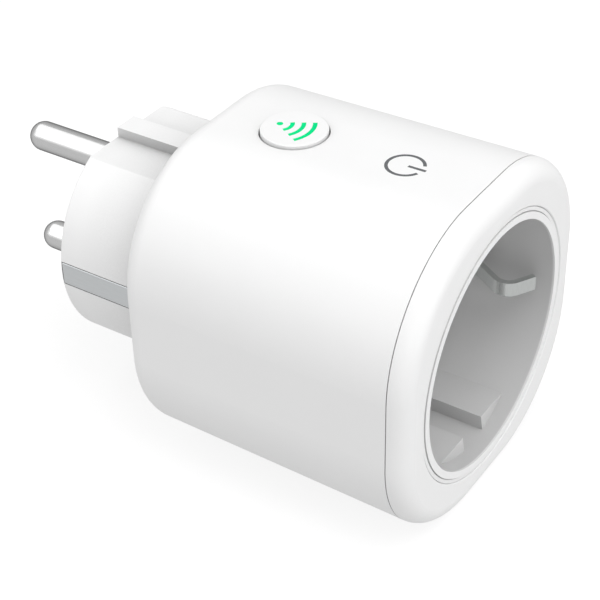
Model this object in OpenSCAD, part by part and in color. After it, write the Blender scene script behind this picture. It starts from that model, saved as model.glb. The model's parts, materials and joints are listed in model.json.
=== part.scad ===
// Smart plug: plug-through housing with a recessed earthed socket, a lit push button and a switching relay.
// Origin: centre of the plug's engagement face. +X runs from the pins to the socket, +Z is up.
// Lengths are in millimetres.

/* [Body] */
// Width and height of the rounded-square body at its front
body_w = 50.3; // [48:0.1:54]
// Radius of the four long corners of the body at its front
corner_r = 19.8; // [8:0.1:24]
// How much each side leans in from the front face to the back
body_draft = 0.55; // [0:0.05:1]
// Thickness of the shell wall
wall = 2; // [1.6:0.1:3]
// Distance from the plug face to the back of the body
back_x = 17; // [16.5:0.1:19]
// Distance from the plug face to the middle of the seam line
seam_x = 61.1; // [58:0.05:64]
// Distance from the plug face to the front face
front_x = 64.1; // [62:0.1:70]
// Rounding of the body's back edge
back_round = 3; // [0.5:0.1:3.5]
// Rounding of the front panel's edge
front_round = 2.8; // [1:0.1:2.8]
// Width of the shadow gap at the seam
seam_gap = 0.16; // [0.1:0.01:0.4]

/* [Plug] */
// Radius of each power pin
pin_r = 2.4; // [2.35:0.01:2.45]
// Length of pin outside the plug face
pin_out = 19.5; // [19:0.1:19.5]
// Distance between the pin axes
pin_pitch = 19; // [18.8:0.1:19.2]
// Radius of the round plug neck
neck_r = 18.05; // [17.5:0.05:18.5]
// Height of the flats beside the centre key
notch_z = 15.6; // [15:0.1:16.5]
// Half width of the centre key
key_half_w = 2; // [1.5:0.1:3]
// Height of the centre key
key_z = 17.2; // [16.5:0.1:18]

/* [Socket] */
// Radius of the recess wall
recess_r = 18.75; // [18.5:0.05:20]
// Radius of the lip around the recess
lip_r = 19.8; // [19:0.05:21]
// Radius of the insert where the front panel surrounds it
ring_r = 20.5; // [20:0.05:22]
// Depth of the recess
recess_depth = 17.5; // [17:0.1:18]
// Distance from the middle plane to a guide rib
rib_y = 2.8; // [2.2:0.1:4]
// Height of the top face of a guide rib
rib_z = 16.2; // [15.8:0.1:17]
// Distance from the plug face to the end of a guide rib
rib_front_x = 61.2; // [55:0.1:63]
// Radius of each pin entry hole
entry_r = 2.8; // [2.6:0.05:3.2]

/* [Earth] */
// Half width of the earth strap
strap_half_w = 1.85; // [1.5:0.05:2.5]
// Thickness of the earth strap
strap_t = 0.8; // [0.5:0.1:1]
// Distance from the middle plane to the outer face of the strap
strap_y = 18; // [17:0.1:18]
// Half width of the spring clip in the recess
clip_half_w = 1.15; // [1:0.05:2]
// Thickness of the spring clip
clip_t = 0.9; // [0.4:0.05:1.1]

/* [Button] */
// Distance from the plug face to the button centre
button_x = 31; // [28:0.1:45]
// Radius of the button cap
button_r = 4.9; // [4:0.1:6]
// Gap around the button cap
button_gap = 0.2; // [0.2:0.01:0.5]
// Height of the cap above the body
button_rise = 0.6; // [0.4:0.1:1.5]
// Thickness of the cap's top
cap_t = 0.8; // [0.6:0.1:1.2]

/* [Electronics] */
// Distance from the plug face to the back of the main board
board_x = 22.6; // [22:0.1:24]
// Thickness of the main board
board_t = 1.6; // [1:0.1:2]
// Relay size along X, Y and Z
relay_size = [14.6, 12.6, 25.8]; // [4:0.1:30]
// Film capacitor size along X, Y and Z
film_size = [11, 6, 13]; // [4:0.1:20]
// Radius of each electrolytic capacitor
can_r = 4; // [2.5:0.1:5]
// Length of each electrolytic capacitor
can_len = 12; // [8:0.1:14]
// Radio module size along X, Y and Z
radio_size = [15.6, 17, 0.8]; // [0.6:0.1:24]

/* [Hidden] */
$fn = 96;
EPS = 0.01;
edge_meet = 0.5;
half_w = body_w / 2;
lean = body_draft / (front_x - back_x);
button_top_z = half_w - lean * (front_x - button_x) + button_rise;
inner_half = half_w - wall;
inner_r = corner_r - wall;
inner_back_x = back_x + wall;
inner_round = 1.2;
shell_front_x = seam_x - seam_gap / 2;
panel_back_x = seam_x + seam_gap / 2;
pin_z = pin_pitch / 2;

// socket insert
floor_t = 2.2;
floor_x = front_x - recess_depth;
floor_back_x = floor_x - floor_t;
cup_r = recess_r + 1.25;
flange_r = 21.5;
flange_t = 1.65;
ring_drop = 0.15;
groove_w = 0.15;
groove_depth = 0.2;
rib_slant = 0.45;
entry_flare = 0.6;
panel_hole_r = ring_r + 0.06;
panel_hole_edge = 0.15;

// front panel skirt and hooks
seam_depth = 0.35;
step_half = half_w - seam_depth;
skirt_half = inner_half - 0.15;
skirt_t = 1.2;
skirt_len = 2.85;
hook_half_w = 3.5;
hook_back_x = 53.6;
hook_barb = [1.6, 0.7];
hook_gap = 0.3;

// plug base
base_floor_t = 2.5;
base_flange_r = 21;
base_flange_t = 1.5;
neck_wall = 1.8;
pin_boss_r = 4.4;
pin_boss_x = 12;
pin_root_r = 2.6;
pin_fit = 0.02;
pin_collar_r = 3.2;
pin_collar_t = 1;
pin_tail_r = 1.25;
pin_tail_x = 25;
neck_edge = 0.4;
pad_half = 1.5;
pad_ring_r = 12.5;

// earth path
strap_start_x = 0.4;
strap_end_x = 42.8;
strap_slot_gap = 0.15;
strap_edge = 0.05;
strap_in_y = strap_y - strap_t;
clip_root_x = 43.5;
clip_root_y = 17.3;
clip_bend_x = 49.7;
clip_low_y = 12.75;
clip_bend_r = 2.7;
clip_in_angle = 30.5;
clip_out_angle = 60;
clip_tail_len = 3.1;
clip_slot_half = [0.8, 1.55];
link_x = inner_back_x + base_flange_t + 0.05;

// main board
board_front_x = board_x + board_t;
board_half = inner_half - 0.8;
post_pos = 16.4;
post_r = 2.4;
screw_r = 1.05;
screw_gap = 0.05;
screw_head_r = 2;
screw_head_t = 1.3;

// contacts and shutter
carrier_r = 16.8;
carrier_t = 1.8;
shutter_room = 2;
carrier_x = floor_back_x - shutter_room - carrier_t;
carrier_boss_y = 12;
carrier_boss_r = 2.3;
collar_r = [3.45, 4.1];
collar_t = 2;
sleeve_r = [2.45, 3.25];
sleeve_x = 27.4;
sleeve_slot = 0.7;
sleeve_base_t = 1;
contact_strap_t = 0.8;
contact_leg_z = 5.2;
shutter_t = 1.2;
shutter_r = 13.4;
shutter_hub_r = 3.6;
shutter_half_angle = 21;
pivot_r = 1.5;
pivot_fit = 0.05;

// button and its board
cap_edge = 0.15;
cap_flange_r = button_r + 0.75;
cap_flange_t = 0.8;
cap_flange_z = inner_half - 0.3;
cap_bore_r = button_r - 0.8;
collar_gap = 0.3;
collar_wall = 0.7;
guide_t = 0.9;
icon_dot_x = -2.45;
icon_dot_r = 0.48;
icon_radii = [1.8, 3.4, 5];
icon_half_line = 0.33;
icon_half_angles = [42, 36, 34];
small_board_z = 14.4;
small_board_t = 1;
small_board_size = [14.4, 17];
small_board_back_x = 25.2;
switch_w = 6;
switch_h = 3.5;
plunger_r = 1.7;
plunger_z = [18, 20.2];
plunger_gap = 0.08;
led_size = [2, 1.6, 1.2];
led_x = button_x - switch_w / 2 - led_size[0] / 2 - 0.2;
board_post_x = 37.6;
board_post_y = 6.6;
board_post_r = 1.9;
small_screw_r = 0.8;
small_head_r = 1.5;
small_head_t = 1;

// printed symbol on top of the body
mark_x = 49;
mark_r = 2.9;
mark_line = 0.5;
mark_t = 0.1;

// ---- shared shapes ----

// Extrudes a (Y, Z) outline along X
module run_x(x0, x1) {
    translate([x0, 0, 0]) rotate([90, 0, 90]) linear_extrude(x1 - x0) children();
}

// Turns a (radius, X) outline around the X axis
module turn_x(sweep = 360) {
    rotate([90, 0, 90]) rotate_extrude(angle = sweep) children();
}

// Round bar along X at a (Y, Z) position
module rod_x(x0, x1, r, y = 0, z = 0) {
    translate([x0, y, z]) rotate([0, 90, 0]) cylinder(h = x1 - x0, r = r);
}

// Box from low corner to high corner
module box(low, high) {
    translate(low) cube(high - low);
}

// The same thing on the +Y and -Y sides
module both_sides() {
    children();
    mirror([0, 1, 0]) children();
}

// The same thing above and below the middle plane
module top_and_bottom() {
    children();
    mirror([0, 0, 1]) children();
}

// Square outline with round corners
module round_square(half, r) {
    square([2 * half, 2 * (half - r)], center = true);
    square([2 * (half - r), 2 * half], center = true);
    for (sy = [-1, 1], sz = [-1, 1]) translate([sy * (half - r), sz * (half - r)]) circle(r);
}

// How far in the leaning side lies at a distance along X
function side_in(x) = lean * (front_x - x);

// Quarter-section outline: a side that leans out at a slope, with round edges at its ends.
// Each rounding meets the straight lines at the angle edge_meet, which keeps the crossing points distinct.
module soft_side(reach, x0, x1, slope, round_back, round_front) {
    stretch = sqrt(1 + slope * slope);
    front_reach = reach + slope * (x1 - x0);
    back_in = round_back * cos(edge_meet);
    front_in = round_front * cos(edge_meet);
    back = [reach + back_in * (slope - stretch), x0 + back_in];
    front = [front_reach - front_in * (slope + stretch), x1 - front_in];
    outward = [1, -slope] / stretch;
    beyond = 2 * max(round_back, round_front);
    intersection() {
        polygon([[0, x0], [reach, x0], [front_reach, x1], [0, x1]]);
        union() {
            polygon([
                [-1, x0 - 1],
                [back[0], x0 - 1],
                back,
                back + beyond * outward,
                front + beyond * outward,
                front,
                [front[0], x1 + 1],
                [-1, x1 + 1]
            ]);
            if (round_back > 0) translate(back) circle(round_back);
            if (round_front > 0) translate(front) circle(round_front);
        }
    }
}

// Rounded-square block along X with leaning sides and round edges
module soft_block(x0, x1, half, r, slope, round_back, round_front) {
    flat = half - r;
    for (my = [0, 1], mz = [0, 1]) mirror([0, my, 0]) mirror([0, 0, mz]) translate([0, flat, flat])
        turn_x(90) soft_side(r, x0, x1, slope, round_back, round_front);
    for (turn = [0 : 90 : 270]) rotate([turn, 0, 0]) translate([0, 0, -flat])
        rotate([0, 0, 90]) mirror([0, 1, 0]) linear_extrude(2 * flat)
            soft_side(half, x0, x1, slope, round_back, round_front);
}

// Pan-head screw along +X: the head's seat is at X = 0 and the thread points to -X
module screw(r, len, head_r, head_t) {
    difference() {
        union() {
            rod_x(-len, EPS, r);
            rod_x(0, head_t, head_r);
        }
        for (turn = [0, 90]) rotate([turn, 0, 0])
            box([head_t / 2, -0.2, -head_r * 0.6], [head_t + 1, 0.2, head_r * 0.6]);
    }
}

// ---- housing ----

module neck_outline() {
    intersection() {
        circle(neck_r);
        square([3 * neck_r, 2 * notch_z], center = true);
    }
    square([2 * key_half_w, 2 * key_z], center = true);
}

module mark_outline() {
    difference() {
        circle(mark_r);
        circle(mark_r - mark_line);
        polygon([[0, 0], [3 * mark_r, -1.3 * mark_r], [3 * mark_r, 1.3 * mark_r]]);
    }
    translate([mark_r * 0.15, -mark_line / 2]) square([mark_r * 0.95, mark_line]);
}

// The mark as a thin plate let into the leaning top, with its upper face a given height above it
module mark_plate(above) {
    translate([mark_x, 0, half_w - side_in(mark_x)]) rotate([0, -atan(lean), 0]) translate([0, 0, -mark_t])
        linear_extrude(mark_t + above) mark_outline();
}

module printed_mark() {
    color("dimgray") mark_plate(0);
}

// Pocket in the shell for one hook of the front panel, on the +Y side
module hook_pocket() {
    box([hook_back_x - hook_gap, skirt_half, -hook_half_w - hook_gap],
        [hook_back_x + hook_barb[0] + hook_gap, skirt_half + hook_barb[1] + hook_gap / 2, hook_half_w + hook_gap]);
}

module body_shell() {
    color("whitesmoke") {
        difference() {
            union() {
                difference() {
                    soft_block(back_x, shell_front_x, half_w - side_in(back_x), corner_r - side_in(back_x),
                        lean, back_round, 0);
                    soft_block(inner_back_x, front_x, inner_half, inner_r, 0, inner_round, 0);
                }
                // posts for the main board
                intersection() {
                    for (sy = [-1, 1], sz = [-1, 1])
                        rod_x(inner_back_x - EPS, board_x, post_r, sy * post_pos, sz * post_pos);
                    run_x(back_x, board_x) round_square(half_w - wall / 2, corner_r - wall / 2);
                }
                // ring that guides the button
                translate([button_x, 0, inner_half - 2.4])
                    cylinder(h = 2.6, r = cap_flange_r + collar_gap + collar_wall);
                // posts for the button board
                for (sy = [-1, 1]) translate([board_post_x, sy * board_post_y, small_board_z + small_board_t])
                    cylinder(h = inner_half - small_board_z - small_board_t + EPS, r = board_post_r);
            }
            rod_x(back_x - 1, inner_back_x + EPS, neck_r + 0.15);
            for (sy = [-1, 1], sz = [-1, 1])
                rod_x(inner_back_x, board_x + 1, screw_r + screw_gap, sy * post_pos, sz * post_pos);
            for (turn = [0 : 90 : 270]) rotate([turn, 0, 0]) hook_pocket();
            translate([button_x, 0, inner_half - 3]) cylinder(h = 3, r = cap_flange_r + collar_gap);
            translate([button_x, 0, inner_half - 1]) cylinder(h = wall + 3, r = button_r + button_gap);
            for (sy = [-1, 1]) translate([board_post_x, sy * board_post_y, small_board_z])
                cylinder(h = 6.4, r = small_screw_r + screw_gap);
            mark_plate(1);
        }
    }
}

// One hook of the front panel, on the +Y side
module panel_hook() {
    box([hook_back_x, skirt_half - skirt_t, -hook_half_w], [shell_front_x - 1, skirt_half, hook_half_w]);
    translate([hook_back_x, skirt_half, -hook_half_w]) linear_extrude(2 * hook_half_w)
        polygon([[0, -EPS], [0, 0], [hook_barb[0] * 0.4, hook_barb[1]], hook_barb, [hook_barb[0], -EPS]]);
}

module front_bezel() {
    color("white") difference() {
        union() {
            soft_block(panel_back_x, front_x, half_w - side_in(panel_back_x), corner_r - side_in(panel_back_x),
                lean, 0, front_round);
            run_x(shell_front_x, panel_back_x + EPS) round_square(step_half, step_half - half_w + corner_r);
            difference() {
                run_x(shell_front_x - skirt_len, shell_front_x + EPS)
                    round_square(skirt_half, skirt_half - half_w + corner_r);
                run_x(shell_front_x - skirt_len - 1, shell_front_x)
                    round_square(skirt_half - skirt_t, skirt_half - skirt_t - half_w + corner_r);
            }
            for (turn = [0 : 90 : 270]) rotate([turn, 0, 0]) panel_hook();
        }
        rod_x(shell_front_x - 1, front_x + 1, panel_hole_r);
        translate([front_x - panel_hole_edge, 0, 0]) rotate([0, 90, 0])
            cylinder(h = panel_hole_edge + EPS, r1 = panel_hole_r, r2 = panel_hole_r + panel_hole_edge + EPS);
    }
}

module entry_hole() {
    rod_x(floor_back_x - 1, floor_x + 1, entry_r);
    translate([floor_x - entry_flare, 0, 0]) rotate([0, 90, 0])
        cylinder(h = entry_flare + EPS, r1 = entry_r, r2 = entry_r + entry_flare);
}

// Outline of a guide rib in the (X, Z) plane, from its top face to beyond the wall
module rib_outline() {
    polygon([
        [floor_x - EPS, rib_z],
        [rib_front_x, rib_z],
        [rib_front_x + rib_slant, recess_r + 0.5],
        [floor_x - EPS, recess_r + 0.5]
    ]);
}

module guide_ribs() {
    intersection() {
        rod_x(floor_x - 1, front_x, recess_r + 0.4);
        both_sides() top_and_bottom() translate([0, neck_r, 0]) rotate([90, 0, 0])
            linear_extrude(neck_r - rib_y) rib_outline();
    }
}

module socket_insert() {
    color("gainsboro") {
        difference() {
            union() {
                rod_x(floor_back_x, front_x - flange_t, cup_r);
                rod_x(shell_front_x - flange_t, shell_front_x, flange_r);
                rod_x(shell_front_x - EPS, front_x - ring_drop, ring_r);
                rod_x(shell_front_x - EPS, front_x, lip_r);
            }
            rod_x(floor_x, front_x + 1, recess_r);
            turn_x() translate([lip_r, front_x - groove_depth - ring_drop]) square([groove_w, 1]);
            top_and_bottom() translate([0, 0, pin_z]) entry_hole();
            both_sides() box(
                [floor_back_x - 1, clip_root_y + clip_t / 2 - clip_slot_half[0], -clip_slot_half[1]],
                [floor_x + 1, clip_root_y + clip_t / 2 + clip_slot_half[0], clip_slot_half[1]]);
            for (sy = [-1, 1]) rod_x(floor_back_x - 1, floor_x - 0.8, screw_r + screw_gap, sy * carrier_boss_y);
        }
        guide_ribs();
        rod_x(floor_back_x - shutter_room, floor_back_x + EPS, pivot_r);
        for (sy = [-1, 1]) difference() {
            rod_x(floor_back_x - shutter_room, floor_back_x + EPS, carrier_boss_r, sy * carrier_boss_y);
            rod_x(floor_back_x - shutter_room - 1, floor_back_x + 1, screw_r + screw_gap, sy * carrier_boss_y);
        }
    }
}

module plug_base() {
    flange_x = inner_back_x;
    flange_end = flange_x + base_flange_t;
    color("white") difference() {
        union() {
            intersection() {
                run_x(0, back_x + EPS) neck_outline();
                turn_x() {
                    translate([0, neck_edge]) square([neck_r + 1, back_x]);
                    square([neck_r - neck_edge, back_x]);
                    translate([neck_r - neck_edge, neck_edge]) circle(neck_edge);
                }
            }
            rod_x(back_x, flange_end, neck_r);
            rod_x(flange_x, flange_end, base_flange_r);
        }
        // room inside the neck, around the two pin bosses
        difference() {
            intersection() {
                rod_x(base_floor_t, flange_end + 1, neck_r - neck_wall);
                union() {
                    box([0, -neck_r, neck_wall - notch_z], [back_x, neck_r, notch_z - neck_wall]);
                    rod_x(back_x, flange_end + 1, neck_r);
                }
            }
            for (sz = [-1, 1]) rod_x(0, pin_boss_x, pin_boss_r, 0, sz * pin_z);
        }
        for (sz = [-1, 1]) rod_x(-1, flange_end, pin_root_r + pin_fit, 0, sz * pin_z);
        // channels for the earth straps
        both_sides() box([strap_start_x - strap_slot_gap, strap_in_y - pin_fit, -strap_half_w - strap_slot_gap],
            [flange_end + 1, neck_r + 0.2, strap_half_w + strap_slot_gap]);
        // room for the board posts
        for (sy = [-1, 1], sz = [-1, 1])
            rod_x(flange_x - 1, flange_end + 1, post_r + 0.3, sy * post_pos, sz * post_pos);
    }
    // pads that hold the main board off the flange
    color("white") for (sy = [-1, 1], sz = [-1, 1])
        box([flange_end - EPS, sy * pad_ring_r - pad_half, sz * pad_ring_r - pad_half],
            [board_x, sy * pad_ring_r + pad_half, sz * pad_ring_r + pad_half]);
}

// ---- plug pins and earth path ----

module plug_pin() {
    color("silver") turn_x() {
        translate([0, pin_r - pin_out]) square([pin_r, pin_out - pin_r + EPS]);
        square([pin_root_r, pin_boss_x + EPS]);
        intersection() {
            translate([0, pin_r - pin_out]) circle(pin_r);
            translate([0, -pin_out]) square([pin_r, pin_r + EPS]);
        }
        translate([0, pin_boss_x]) square([pin_collar_r, pin_collar_t]);
        translate([0, pin_boss_x]) square([pin_tail_r, pin_tail_x - pin_boss_x]);
    }
}

module plug_pin_upper() {
    translate([0, 0, pin_z]) plug_pin();
}

module plug_pin_lower() {
    translate([0, 0, -pin_z]) plug_pin();
}

module earth_strap() {
    color("darkgray") run_x(strap_start_x, strap_end_x) polygon([
        [strap_in_y, -strap_half_w],
        [strap_y - strap_edge, -strap_half_w],
        [strap_y, strap_edge - strap_half_w],
        [strap_y, strap_half_w - strap_edge],
        [strap_y - strap_edge, strap_half_w],
        [strap_in_y, strap_half_w]
    ]);
}

module earth_strap_left() {
    earth_strap();
}

module earth_strap_right() {
    mirror([0, 1, 0]) earth_strap();
}

module earth_link() {
    color("darkgray") box([link_x, -strap_in_y, -strap_half_w], [link_x + strap_t, strap_in_y, strap_half_w]);
}

// Spring clip seen along Z: root in the floor, leg in, rounded contact, tail out
module clip_outline() {
    bend = [
        clip_bend_x + (clip_root_y - clip_low_y) / tan(clip_in_angle) + clip_bend_r * tan(clip_in_angle / 2),
        clip_low_y + clip_bend_r
    ];
    a0 = -90 - clip_in_angle;
    a1 = -90 + clip_out_angle;
    start = bend + clip_bend_r * [cos(a0), sin(a0)];
    start_out = bend + (clip_bend_r - clip_t) * [cos(a0), sin(a0)];
    end = bend + clip_bend_r * [cos(a1), sin(a1)];
    end_out = bend + (clip_bend_r - clip_t) * [cos(a1), sin(a1)];
    way = [cos(clip_out_angle), sin(clip_out_angle)];
    polygon([
        [clip_root_x, clip_root_y],
        [clip_bend_x, clip_root_y],
        start,
        start_out,
        [clip_bend_x + clip_t * tan(clip_in_angle / 2), clip_root_y + clip_t],
        [clip_root_x, clip_root_y + clip_t]
    ]);
    intersection() {
        translate(bend) difference() {
            circle(clip_bend_r);
            circle(clip_bend_r - clip_t);
        }
        polygon([
            bend,
            bend + 2 * clip_bend_r * [cos(a0), sin(a0)],
            bend + 3 * clip_bend_r * [cos((a0 + a1) / 2), sin((a0 + a1) / 2)],
            bend + 2 * clip_bend_r * [cos(a1), sin(a1)]
        ]);
    }
    polygon([end, end + clip_tail_len * way, end_out + clip_tail_len * way, end_out]);
    translate([clip_root_x, clip_root_y + clip_t / 2]) circle(clip_t / 2);
}

module earth_clip() {
    color("silver") translate([0, 0, -clip_half_w]) linear_extrude(2 * clip_half_w) clip_outline();
}

module earth_clip_left() {
    earth_clip();
}

module earth_clip_right() {
    mirror([0, 1, 0]) earth_clip();
}

// ---- button ----

// Dot and three arcs that open towards the socket
module icon_outline() {
    translate([icon_dot_x, 0]) circle(icon_dot_r);
    for (i = [0 : len(icon_radii) - 1]) intersection() {
        translate([icon_dot_x, 0]) difference() {
            circle(icon_radii[i] + icon_half_line);
            circle(icon_radii[i] - icon_half_line);
        }
        translate([icon_dot_x, 0]) polygon([
            [0, 0],
            [8, -8 * tan(icon_half_angles[i])],
            [8, 8 * tan(icon_half_angles[i])]
        ]);
    }
}

module button_cap() {
    color("white") translate([button_x, 0, 0]) difference() {
        union() {
            rotate_extrude() {
                translate([0, cap_flange_z - EPS]) square([button_r, button_top_z - cap_edge - cap_flange_z + EPS]);
                translate([0, cap_flange_z]) square([button_r - cap_edge, button_top_z - cap_flange_z]);
                translate([button_r - cap_edge, button_top_z - cap_edge]) circle(cap_edge);
            }
            translate([0, 0, cap_flange_z - cap_flange_t]) cylinder(h = cap_flange_t, r = cap_flange_r);
        }
        translate([0, 0, cap_flange_z - cap_flange_t - 1])
            cylinder(h = button_top_z - cap_t - cap_flange_z + cap_flange_t + 1, r = cap_bore_r);
        translate([0, 0, button_top_z - cap_t - 1]) linear_extrude(cap_t + 2) intersection() {
            icon_outline();
            circle(cap_bore_r - 0.05);
        }
    }
}

module light_guide() {
    guide_z = button_top_z - cap_t - guide_t;
    color("springgreen") translate([button_x, 0, 0]) {
        translate([0, 0, button_top_z - cap_t - EPS]) linear_extrude(cap_t + EPS) intersection() {
            icon_outline();
            circle(cap_bore_r - 0.05);
        }
        translate([0, 0, guide_z]) cylinder(h = guide_t, r = cap_bore_r - 0.05);
        translate([0, 0, plunger_z[1]]) cylinder(h = guide_z - plunger_z[1] + EPS, r = 1.5);
        translate([led_x - button_x + 1, 0, cap_flange_z - 3]) cylinder(h = guide_z - cap_flange_z + 3 + EPS, r = 0.8);
    }
}

module switch_plunger() {
    color("black") translate([button_x, 0, plunger_z[0]]) cylinder(h = plunger_z[1] - plunger_z[0], r = plunger_r);
}

module switch_body() {
    base_z = small_board_z + small_board_t;
    color("dimgray") difference() {
        translate([button_x - switch_w / 2, -switch_w / 2, base_z]) cube([switch_w, switch_w, switch_h - 0.3]);
        translate([button_x, 0, base_z + 1.2]) cylinder(h = switch_h, r = plunger_r + plunger_gap);
    }
}

module switch_cover() {
    top_z = small_board_z + small_board_t + switch_h;
    color("silver") difference() {
        translate([button_x - switch_w / 2, -switch_w / 2, top_z - 0.3]) cube([switch_w, switch_w, 0.3]);
        translate([button_x, 0, top_z - 1]) cylinder(h = 2, r = plunger_r + plunger_gap + 0.2);
    }
}

module status_led() {
    color("palegreen") translate([led_x - led_size[0] / 2, -led_size[1] / 2, small_board_z + small_board_t]) cube(led_size);
}

module button_board() {
    color("seagreen") difference() {
        translate([small_board_back_x, -small_board_size[1] / 2, small_board_z])
            cube([small_board_size[0], small_board_size[1], small_board_t]);
        for (sy = [-1, 1]) translate([board_post_x, sy * board_post_y, small_board_z - 1])
            cylinder(h = 3, r = small_screw_r + 0.1);
    }
}

module button_board_screws() {
    color("gray") for (sy = [-1, 1]) translate([board_post_x, sy * board_post_y, small_board_z])
        rotate([0, 90, 0]) screw(small_screw_r, 5, small_head_r, small_head_t);
}

// ---- main board and its parts ----

module main_board() {
    color("seagreen") run_x(board_x, board_front_x) difference() {
        round_square(board_half, board_half - half_w + corner_r);
        for (sy = [-1, 1], sz = [-1, 1]) translate([sy * post_pos, sz * post_pos]) circle(screw_r + 0.15);
        for (sz = [-1, 1]) translate([0, sz * pin_z]) circle(pin_tail_r + 0.1);
        for (sy = [-1, 1]) translate([sy * (strap_y - strap_t / 2), 0])
            square([strap_t + 0.6, 2 * strap_half_w + 0.6], center = true);
    }
}

module main_board_screws() {
    color("gray") for (sy = [-1, 1], sz = [-1, 1])
        translate([board_front_x, sy * post_pos, sz * post_pos])
            screw(screw_r, board_t + 3, screw_head_r, screw_head_t);
}

module board_headers() {
    color("black") {
        box([board_front_x, -4, small_board_z - 1.5], [board_front_x + 2.5, 4, small_board_z]);
        box([board_front_x, -4, -17.8], [board_front_x + 2.5, 4, -16.3]);
    }
}

module relay() {
    color("steelblue") translate([board_front_x, -4.3 - relay_size[1], -13.2]) cube(relay_size);
}

module film_capacitor() {
    color("goldenrod") translate([board_front_x, 5.2, -17.6]) cube(film_size);
}

module electrolytic_capacitors() {
    color("midnightblue") for (z = [8.6, 0.2]) rod_x(board_front_x, board_front_x + can_len, can_r, 9.2, z);
}

module choke_core() {
    color("darkslategray") {
        rod_x(board_front_x, board_front_x + 1, 4, 16.6, -8.2);
        rod_x(board_front_x, board_front_x + 9, 2, 16.6, -8.2);
        rod_x(board_front_x + 8, board_front_x + 9, 4, 16.6, -8.2);
    }
}

module choke_winding() {
    color("peru") difference() {
        rod_x(board_front_x + 1.05, board_front_x + 7.95, 3.6, 16.6, -8.2);
        rod_x(board_front_x, board_front_x + 9, 2.05, 16.6, -8.2);
    }
}

module varistor() {
    color("royalblue") translate([board_front_x + 5.2, 13.8, 9.2]) rotate([-90, 0, 0]) cylinder(h = 3.6, r = 4.5);
}

module fuse() {
    color("burlywood") translate([board_front_x + 2, 20.4, -4.6]) cylinder(h = 9.2, r = 1.6);
}

module rectifier() {
    color("black") box([board_front_x, -21.6, -4], [board_front_x + 2.4, -18.5, 4]);
}

module power_chip() {
    color("black") box([board_front_x, -3, -2.4], [board_front_x + 1.6, 3, 2.4]);
}

module radio_board() {
    color("navy") translate([board_front_x + 0.2, -radio_size[1] / 2, -18.6]) cube(radio_size);
}

module radio_shield() {
    color("silver") box([board_front_x + 1, -6.5, -20.8], [board_front_x + 10, 6.5, -18.6]);
}

// Folded track at the free end of the radio board
module radio_antenna() {
    track = 0.6;
    step = 1.5;
    start_x = board_front_x + 11.2;
    color("goldenrod") translate([start_x, 0, -18.7]) {
        for (i = [0 : 7]) translate([0, -6 + i * step, 0]) cube([3.6, track, 0.1]);
        for (i = [0 : 2 : 6]) translate([3, -6 + i * step, 0]) cube([track, step + track, 0.1]);
        for (i = [1 : 2 : 5]) translate([0, -6 + i * step, 0]) cube([track, step + track, 0.1]);
    }
}

// ---- socket contacts and shutter ----

module contact_sleeve() {
    color("gold") difference() {
        rod_x(sleeve_x, carrier_x - 0.1, sleeve_r[1]);
        rod_x(sleeve_x + sleeve_base_t, carrier_x + 1, sleeve_r[0]);
        box([sleeve_x + 4, -sleeve_slot / 2, -5], [carrier_x + 1, sleeve_slot / 2, 5]);
    }
}

module contact_sleeve_upper() {
    translate([0, 0, pin_z]) contact_sleeve();
}

module contact_sleeve_lower() {
    translate([0, 0, -pin_z]) contact_sleeve();
}

module contact_straps() {
    color("goldenrod") top_and_bottom() {
        box([sleeve_x - contact_strap_t, -3, contact_leg_z - contact_strap_t],
            [sleeve_x, 3, pin_z + 3]);
        box([board_front_x, -3, contact_leg_z - contact_strap_t],
            [sleeve_x - contact_strap_t + EPS, 3, contact_leg_z]);
    }
}

module contact_carrier() {
    plate_end = carrier_x + carrier_t;
    color("ivory") difference() {
        union() {
            rod_x(carrier_x, plate_end, carrier_r);
            difference() {
                rod_x(plate_end - EPS, floor_back_x, carrier_r);
                rod_x(plate_end, floor_back_x + 1, carrier_r - 1.2);
            }
            for (sz = [-1, 1]) rod_x(carrier_x - collar_t, carrier_x + EPS, collar_r[1], 0, sz * pin_z);
        }
        for (sz = [-1, 1]) {
            rod_x(carrier_x - collar_t - 1, carrier_x, collar_r[0], 0, sz * pin_z);
            rod_x(carrier_x - 1, plate_end + 1, entry_r, 0, sz * pin_z);
        }
        for (sy = [-1, 1]) rod_x(carrier_x - 1, plate_end + 1, screw_r + 0.15, sy * carrier_boss_y);
    }
}

module carrier_screws() {
    color("gray") for (sy = [-1, 1]) translate([carrier_x, sy * carrier_boss_y, 0])
        mirror([1, 0, 0]) screw(screw_r, carrier_t + shutter_room + 1.2, screw_head_r, screw_head_t);
}

module safety_shutter() {
    mid = floor_back_x - shutter_room / 2;
    reach = 3 * shutter_r;
    color("orange") run_x(mid - shutter_t / 2, mid + shutter_t / 2) difference() {
        union() {
            circle(shutter_hub_r);
            intersection() {
                circle(shutter_r);
                for (s = [-1, 1]) polygon([
                    [0, 0],
                    [-reach * sin(shutter_half_angle), s * reach * cos(shutter_half_angle)],
                    [reach * sin(shutter_half_angle), s * reach * cos(shutter_half_angle)]
                ]);
            }
        }
        circle(pivot_r + pivot_fit);
    }
}

// Bow of spring wire between the carrier's rim and one arm of the shutter
module shutter_spring() {
    wire_r = 0.2;
    mid = floor_back_x - shutter_room / 2;
    color("silver") translate([0, -8.2, 6.2]) turn_x(200) translate([1.8, mid]) circle(wire_r);
}

body_shell();
front_bezel();
socket_insert();
plug_base();
printed_mark();
plug_pin_upper();
plug_pin_lower();
earth_strap_left();
earth_strap_right();
earth_link();
earth_clip_left();
earth_clip_right();
button_cap();
light_guide();
switch_plunger();
switch_body();
switch_cover();
status_led();
button_board();
button_board_screws();
main_board();
main_board_screws();
board_headers();
relay();
film_capacitor();
electrolytic_capacitors();
choke_core();
choke_winding();
varistor();
fuse();
rectifier();
power_chip();
radio_board();
radio_shield();
radio_antenna();
contact_sleeve_upper();
contact_sleeve_lower();
contact_straps();
contact_carrier();
carrier_screws();
safety_shutter();
shutter_spring();
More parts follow.
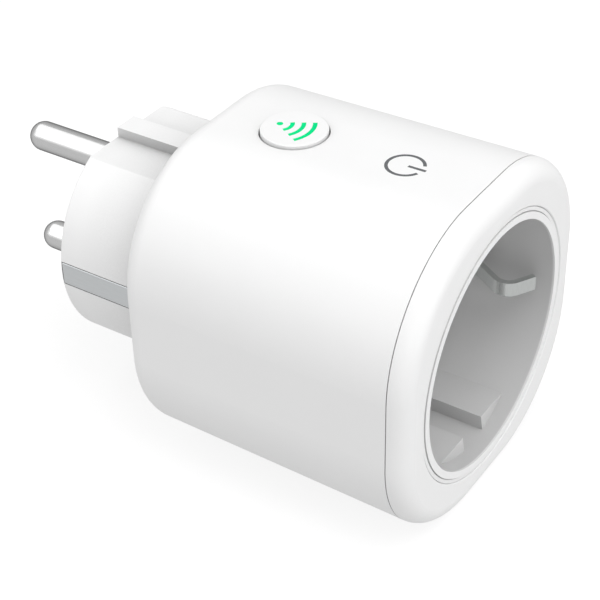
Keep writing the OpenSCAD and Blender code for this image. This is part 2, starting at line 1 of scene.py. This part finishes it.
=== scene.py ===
"""Smart plug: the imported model's looks, a plain white studio and the camera.

Lengths are in metres.
"""

import json
import math

import bpy
from mathutils import Matrix, Vector


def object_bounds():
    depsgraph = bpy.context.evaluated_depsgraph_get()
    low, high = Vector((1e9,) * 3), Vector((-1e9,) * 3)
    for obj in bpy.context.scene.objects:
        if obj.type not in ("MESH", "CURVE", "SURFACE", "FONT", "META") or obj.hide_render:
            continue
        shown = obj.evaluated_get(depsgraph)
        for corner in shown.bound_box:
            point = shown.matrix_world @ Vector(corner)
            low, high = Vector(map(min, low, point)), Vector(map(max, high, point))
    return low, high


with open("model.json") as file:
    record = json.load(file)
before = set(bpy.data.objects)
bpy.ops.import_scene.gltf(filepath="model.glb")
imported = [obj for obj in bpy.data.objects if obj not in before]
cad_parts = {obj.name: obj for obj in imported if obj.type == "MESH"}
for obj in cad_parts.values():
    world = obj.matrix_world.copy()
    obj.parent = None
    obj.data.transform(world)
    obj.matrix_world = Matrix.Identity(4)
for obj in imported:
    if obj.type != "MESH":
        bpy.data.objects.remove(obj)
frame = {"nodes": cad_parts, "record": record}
cad_low, cad_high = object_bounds()
scene = bpy.context.scene

MM = 0.001


# ---- camera: at the photograph's viewing angle, aimed at the body ----

CAMERA_PLACE = Vector((140.31, -161.61, 138.08)) * MM
CAMERA_AZIMUTH = math.radians(34.02)
CAMERA_ELEVATION = math.radians(36.17)
CAMERA_ROLL = math.radians(-1.417)
CAMERA_LENS = 95.71
SENSOR_WIDTH = 36
NEAREST_SEEN = 0.01


def add_camera():
    """A camera with no shift and no depth of field."""
    data = bpy.data.cameras.new("camera")
    data.lens = CAMERA_LENS
    data.sensor_width = SENSOR_WIDTH
    data.clip_start = NEAREST_SEEN
    camera = bpy.data.objects.new("camera", data)
    scene.collection.objects.link(camera)
    back = Vector((
        math.sin(CAMERA_AZIMUTH) * math.cos(CAMERA_ELEVATION),
        -math.cos(CAMERA_AZIMUTH) * math.cos(CAMERA_ELEVATION),
        math.sin(CAMERA_ELEVATION),
    ))
    level = Vector((math.cos(CAMERA_AZIMUTH), math.sin(CAMERA_AZIMUTH), 0))
    upright = back.cross(level)
    right = level * math.cos(CAMERA_ROLL) + upright * math.sin(CAMERA_ROLL)
    up = upright * math.cos(CAMERA_ROLL) - level * math.sin(CAMERA_ROLL)
    turn = Matrix((right, up, back)).transposed().to_4x4()
    camera.matrix_world = Matrix.Translation(CAMERA_PLACE) @ turn
    scene.camera = camera


add_camera()


# ---- materials ----

# Noise seldom reaches 0 or 1, so only its middle range is spread out.
NOISE_LOW, NOISE_HIGH = 0.3, 0.7
TINT_START, TINT_END = 0.35, 0.65

# Painted shade in corners and gaps: rays for each sample, the openness taken as closed, and how
# far the rays look.
OPENNESS_RAYS = 6
CLOSED = 0.35
PAINTED_SHADE_REACH = 5 * MM
NECK_PAINTED_SHADE_REACH = 14 * MM

# How much painted shade darkens closed corners.
SHELL_PAINTED_SHADE = 0.2
INSERT_PAINTED_SHADE = 0.2
NECK_PAINTED_SHADE = 0.6

# Moulded plastic.
MOTTLE_SIZE = 9 * MM
SHEEN_SIZE = 3 * MM
SHEEN_SPREAD = 0.1
GRAIN_SIZE = 0.15 * MM
GRAIN_DETAIL = 2
INSERT_RELIEF = 0.001 * MM

# Painted shade: the socket insert is white down to RIM_DEPTH below its rim and grey from the next
# depth on.
RIM_DEPTH = 0.2 * MM
RECESS_PAINTED_SHADE_DEPTH = 0.4 * MM

# Metal: its tint varies by a fifth as much as its sheen does, and in finer marks.
METAL_DETAIL = 4
TINT_SHARE = 5
SHEEN_COARSER = 3
POLISHED = 0.00005 * MM
BRUSHED = 0.0003 * MM

# Circuit boards and wound wire.
TRACK_SIZE = 1.2 * MM
TRACK_DETAIL = 1
TRACK_STRETCH = (1, 1, 6)
TRACK_RELIEF = 0.02 * MM
TURN_SCALE = 600
TURN_RELIEF = 0.05 * MM


class Surface:
    """A Principled material that its functions build up from procedural nodes in object space."""

    def __init__(self, name):
        self.material = bpy.data.materials.new(name)
        self.material.use_nodes = True
        self.tree = self.material.node_tree
        self.shader = self.tree.nodes["Principled BSDF"]
        self.place = self.tree.nodes.new("ShaderNodeTexCoord").outputs["Object"]

    def noise(self, size, detail=3, stretch=(1, 1, 1)):
        """Noise from 0 to 1 with features of about that size, longer along a stretched axis."""
        mapping = self.tree.nodes.new("ShaderNodeMapping")
        mapping.inputs["Scale"].default_value = [1 / s for s in stretch]
        self.tree.links.new(self.place, mapping.inputs["Vector"])
        texture = self.tree.nodes.new("ShaderNodeTexNoise")
        texture.inputs["Scale"].default_value = 1 / size
        texture.inputs["Detail"].default_value = detail
        self.tree.links.new(mapping.outputs["Vector"], texture.inputs["Vector"])
        return texture.outputs["Fac"]

    def between(self, fac, low, high):
        """fac's middle range spread between two values."""
        spread = self.tree.nodes.new("ShaderNodeMapRange")
        spread.inputs["From Min"].default_value = NOISE_LOW
        spread.inputs["From Max"].default_value = NOISE_HIGH
        spread.inputs["To Min"].default_value = low
        spread.inputs["To Max"].default_value = high
        self.tree.links.new(fac, spread.inputs["Value"])
        return spread.outputs["Result"]

    def colour(self, fac, low, high, start=TINT_START, end=TINT_END):
        """A base colour that runs between two colours as fac goes from start to end."""
        ramp = self.tree.nodes.new("ShaderNodeValToRGB")
        for stop, place, value in zip(ramp.color_ramp.elements, (start, end), (low, high)):
            stop.position = place
            stop.color = (*value, 1)
        self.tree.links.new(fac, ramp.inputs["Fac"])
        self.tree.links.new(ramp.outputs["Color"], self.shader.inputs["Base Color"])
        return ramp.outputs["Color"]

    def painted_corner_shade(self, colour, reach, dark):
        """Paints shade into a colour: darkens it in corners and gaps that are narrower than about
        reach.
        """
        openness = self.tree.nodes.new("ShaderNodeAmbientOcclusion")
        openness.samples = OPENNESS_RAYS
        openness.inputs["Distance"].default_value = reach
        tone = self.tree.nodes.new("ShaderNodeMapRange")
        tone.inputs["From Min"].default_value = CLOSED
        tone.inputs["From Max"].default_value = 1.0
        tone.inputs["To Min"].default_value = dark
        tone.inputs["To Max"].default_value = 1.0
        self.tree.links.new(openness.outputs["AO"], tone.inputs["Value"])
        darkened = self.tree.nodes.new("ShaderNodeVectorMath")
        darkened.operation = "SCALE"
        self.tree.links.new(colour, darkened.inputs["Vector"])
        self.tree.links.new(tone.outputs["Result"], darkened.inputs["Scale"])
        self.tree.links.new(darkened.outputs["Vector"], self.shader.inputs["Base Color"])

    def roughness(self, fac, low, high):
        """Roughness that runs between two values with fac."""
        self.tree.links.new(self.between(fac, low, high), self.shader.inputs["Roughness"])

    def bump(self, fac, depth):
        """Fine relief of about that depth in metres."""
        relief = self.tree.nodes.new("ShaderNodeBump")
        relief.inputs["Distance"].default_value = depth
        self.tree.links.new(fac, relief.inputs["Height"])
        self.tree.links.new(relief.outputs["Normal"], self.shader.inputs["Normal"])

    def set(self, **values):
        """Sets shader sockets by name, with underscores for spaces."""
        for name, value in values.items():
            self.shader.inputs[name.replace("_", " ")].default_value = value


def shade(colour, factor):
    """A colour made lighter or darker by a factor."""
    return tuple(min(1, c * factor) for c in colour)


def add_sheen(s, rough):
    """The uneven sheen of moulded plastic."""
    s.roughness(s.noise(SHEEN_SIZE), rough * (1 - SHEEN_SPREAD), rough * (1 + SHEEN_SPREAD))


def plastic(
    name, colour, rough=0.35, grain=GRAIN_SIZE, relief=0.002 * MM, mottle=0.004, painted_corner_shade=0.0,
    reach=PAINTED_SHADE_REACH,
):
    """Moulded plastic: faint mottle, uneven sheen, a fine grain and painted shade in crevices."""
    s = Surface(name)
    tint = s.colour(s.noise(MOTTLE_SIZE), shade(colour, 1 - mottle), shade(colour, 1 + mottle))
    if painted_corner_shade:
        s.painted_corner_shade(tint, reach, 1 - painted_corner_shade)
    add_sheen(s, rough)
    s.bump(s.noise(grain, GRAIN_DETAIL), relief)
    return s.material


def insert_plastic(name, rim_colour, recess_painted_shade_colour, rough):
    """The socket insert's plastic: white on the rim, with painted shade greying it down in the
    recess and in its corners.
    """
    s = Surface(name)
    split = s.tree.nodes.new("ShaderNodeSeparateXYZ")
    s.tree.links.new(s.place, split.inputs["Vector"])
    depth = s.tree.nodes.new("ShaderNodeMapRange")
    depth.inputs["From Min"].default_value = cad_high.x - RECESS_PAINTED_SHADE_DEPTH
    depth.inputs["From Max"].default_value = cad_high.x - RIM_DEPTH
    s.tree.links.new(split.outputs["X"], depth.inputs["Value"])
    tint = s.colour(depth.outputs["Result"], recess_painted_shade_colour, rim_colour, 0, 1)
    s.painted_corner_shade(tint, PAINTED_SHADE_REACH, 1 - INSERT_PAINTED_SHADE)
    add_sheen(s, rough)
    s.bump(s.noise(GRAIN_SIZE, GRAIN_DETAIL), INSERT_RELIEF)
    return s.material


def metal(
    name, colour, rough=0.2, stretch=(1, 1, 1), grain=0.2 * MM, relief=0.001 * MM, wear=0.2,
    edge=1.0,
):
    """Plated or bare metal with marks drawn out along a stretched axis.

    wear is how uneven its sheen is, and edge is how bright it stays at a grazing angle.
    """
    s = Surface(name)
    s.set(Metallic=1.0, Specular_Tint=(edge, edge, edge, 1))
    fine = s.noise(grain, METAL_DETAIL, stretch)
    s.colour(fine, shade(colour, 1 - wear / TINT_SHARE), shade(colour, 1 + wear / TINT_SHARE))
    coarse = s.noise(grain * SHEEN_COARSER, stretch=stretch)
    s.roughness(coarse, rough * (1 - wear), rough * (1 + wear))
    s.bump(fine, relief)
    return s.material


def solder_mask(name, colour):
    """A circuit board's lacquer over faint tracks."""
    s = Surface(name)
    tracks = s.noise(TRACK_SIZE, TRACK_DETAIL, TRACK_STRETCH)
    s.colour(tracks, shade(colour, 0.75), shade(colour, 1.3))
    s.roughness(s.noise(0.6 * MM), 0.25, 0.4)
    s.bump(tracks, TRACK_RELIEF)
    return s.material


def lit_symbol(name, colour, glow):
    """Clear plastic lit from behind, a little brighter in some places than in others."""
    s = Surface(name)
    s.set(Emission_Strength=glow, Specular_IOR_Level=0.0)
    tint = s.colour(s.noise(4 * MM), shade(colour, 0.92), shade(colour, 1.06))
    s.tree.links.new(tint, s.shader.inputs["Emission Color"])
    s.roughness(s.noise(2 * MM), 0.35, 0.45)
    return s.material


def wound_wire(name, colour):
    """Enamelled wire wound round an axis along X."""
    s = Surface(name)
    s.set(Metallic=0.8)
    wave = s.tree.nodes.new("ShaderNodeTexWave")
    wave.wave_type = "BANDS"
    wave.bands_direction = "X"
    wave.inputs["Scale"].default_value = TURN_SCALE
    s.tree.links.new(s.place, wave.inputs["Vector"])
    s.colour(wave.outputs["Fac"], shade(colour, 0.5), shade(colour, 1.2))
    s.roughness(s.noise(1 * MM), 0.25, 0.4)
    s.bump(wave.outputs["Fac"], TURN_RELIEF)
    return s.material


# The white plastics get painted shade in their corners and gaps.
materials = {
    "housing_white": plastic("housing_white", (0.80, 0.80, 0.80), 0.36, painted_corner_shade=SHELL_PAINTED_SHADE),
    "panel_white": plastic("panel_white", (0.80, 0.80, 0.80), 0.33, painted_corner_shade=SHELL_PAINTED_SHADE),
    # The insert's grey is painted shade for the inside of its recess.
    "insert_white": insert_plastic("insert_white", (0.80, 0.80, 0.80), (0.58, 0.58, 0.58), 0.4),
    # Painted shade with a long reach darkens the neck near the body.
    "neck_white": plastic(
        "neck_white", (0.82, 0.82, 0.82), 0.36, painted_corner_shade=NECK_PAINTED_SHADE, reach=NECK_PAINTED_SHADE_REACH,
    ),
    "print_grey": plastic("print_grey", (0.1, 0.105, 0.11), 0.6, mottle=0.08),
    "nickel": metal(
        "nickel", (0.75, 0.75, 0.75), 0.19, (8, 1, 1), relief=POLISHED, wear=0.08, edge=0.2,
    ),
    "spring_steel": metal(
        "spring_steel", (0.70, 0.72, 0.73), 0.38, (12, 1, 1), relief=BRUSHED, wear=0.1,
    ),
    "clip_steel": metal(
        "clip_steel", (0.69, 0.71, 0.70), 0.2, (1, 1, 8), relief=BRUSHED, wear=0.1, edge=0.5,
    ),
    "brass": metal("brass", (0.80, 0.58, 0.28), 0.3),
    "cap_white": plastic("cap_white", (0.80, 0.80, 0.80), 0.33, painted_corner_shade=SHELL_PAINTED_SHADE),
    "guide_green": lit_symbol("guide_green", (0.004, 0.45, 0.158), 0.63),
    "switch_black": plastic("switch_black", (0.03, 0.03, 0.035), 0.5, mottle=0.1),
    "board_green": solder_mask("board_green", (0.02, 0.16, 0.06)),
    "relay_blue": plastic("relay_blue", (0.05, 0.14, 0.40), 0.35, mottle=0.05),
    "film_yellow": plastic("film_yellow", (0.75, 0.50, 0.08), 0.35, mottle=0.05),
    "can_sleeve": plastic("can_sleeve", (0.03, 0.035, 0.10), 0.3, mottle=0.1),
    "ferrite": plastic(
        "ferrite", (0.05, 0.05, 0.055), 0.6, grain=0.3 * MM, relief=0.01 * MM, mottle=0.15,
    ),
    "copper": wound_wire("copper", (0.62, 0.30, 0.14)),
    "varistor_blue": plastic("varistor_blue", (0.03, 0.16, 0.50), 0.3, mottle=0.06),
    "ceramic": plastic("ceramic", (0.74, 0.68, 0.54), 0.55, mottle=0.04),
    "radio_blue": solder_mask("radio_blue", (0.015, 0.03, 0.16)),
    "shield_tin": metal("shield_tin", (0.72, 0.72, 0.72), 0.3),
    "carrier_ivory": plastic("carrier_ivory", (0.74, 0.70, 0.58), 0.45, mottle=0.03),
    "shutter_white": plastic("shutter_white", (0.74, 0.74, 0.70), 0.4, mottle=0.03),
    "screw_steel": metal("screw_steel", (0.56, 0.56, 0.57), 0.35),
    "led_clear": plastic("led_clear", (0.62, 0.86, 0.68), 0.2, mottle=0.04),
}


def dress_parts():
    """Gives every node the material of its slot."""
    for part in frame["record"]["subparts"]:
        node = frame["nodes"][part["node"]]
        slot = part["material_slot"]
        node.data.materials.clear()
        node.data.materials.append(materials[slot])


dress_parts()


# ---- studio ----

FLOOR_SIZE = 60.0
FLOOR_GAP = 0.1 * MM
FLOOR_GLOW = 1.95
FLOOR_TONES = ((0.34, 0.34, 0.34), (0.36, 0.36, 0.36))
SOFTBOX_DISTANCE = 0.55


def add_floor():
    """A white floor that the body lies on, lit a little from inside so that shadows stay faint."""
    bpy.ops.mesh.primitive_plane_add(size=FLOOR_SIZE, location=(0, 0, cad_low.z - FLOOR_GAP))
    floor = bpy.context.object
    floor.name = "floor"
    s = Surface("floor_white")
    s.set(Specular_IOR_Level=0.0, Emission_Strength=FLOOR_GLOW)
    tint = s.colour(s.noise(0.5), *FLOOR_TONES)
    s.tree.links.new(tint, s.shader.inputs["Emission Color"])
    s.roughness(s.noise(0.3), 0.9, 1.0)
    floor.data.materials.append(s.material)
    floor.visible_diffuse = False
    floor.visible_glossy = False
    floor.visible_shadow = False


def add_softbox(name, azimuth, elevation, size, power, only_gloss=False):
    """A square area light turned to the body; azimuth 0 is the -Y side and 90 the socket side.

    With only_gloss it shows in glossy reflections and lights nothing else.
    """
    data = bpy.data.lights.new(name, "AREA")
    data.shape = "SQUARE"
    data.size = size
    data.energy = power
    lamp = bpy.data.objects.new(name, data)
    scene.collection.objects.link(lamp)
    turn, rise = math.radians(azimuth), math.radians(elevation)
    outward = math.cos(rise)
    away = Vector((math.sin(turn) * outward, -math.cos(turn) * outward, math.sin(rise)))
    lamp.location = (cad_low + cad_high) / 2 + away * SOFTBOX_DISTANCE
    lamp.rotation_mode = "QUATERNION"
    lamp.rotation_quaternion = away.to_track_quat("Z", "Y")
    lamp.visible_diffuse = not only_gloss


def add_sky(nadir, zenith):
    """White light from all round, changing evenly from below to above."""
    world = bpy.data.worlds.new("studio")
    world.use_nodes = True
    nodes, links = world.node_tree.nodes, world.node_tree.links
    direction = nodes.new("ShaderNodeTexCoord").outputs["Generated"]
    split = nodes.new("ShaderNodeSeparateXYZ")
    links.new(direction, split.inputs["Vector"])
    spread = nodes.new("ShaderNodeMapRange")
    spread.inputs["From Min"].default_value = -1
    spread.inputs["To Min"].default_value = nadir
    spread.inputs["To Max"].default_value = zenith
    links.new(split.outputs["Z"], spread.inputs["Value"])
    nodes["Background"].inputs["Color"].default_value = (1, 1, 1, 1)
    links.new(spread.outputs["Result"], nodes["Background"].inputs["Strength"])
    scene.world = world


add_floor()
add_sky(0.68, 0.61)
add_softbox("big_light", -30, 45, 0.9, 0.87)
add_softbox("pin_light", -34, 34, 0.4, 0.3)
add_softbox("pin_gleam", -84, 63, 0.6, 0.84, only_gloss=True)
add_softbox("top_light", 0, 88, 0.5, 0.45)
add_softbox("front_light", 90, 10, 0.4, 0.67)
add_softbox("high_front_light", 90, 60, 0.4, 1.06)
add_softbox("camera_side_light", 45, 15, 0.3, 0.18)
scene.view_settings.view_transform = "Standard"
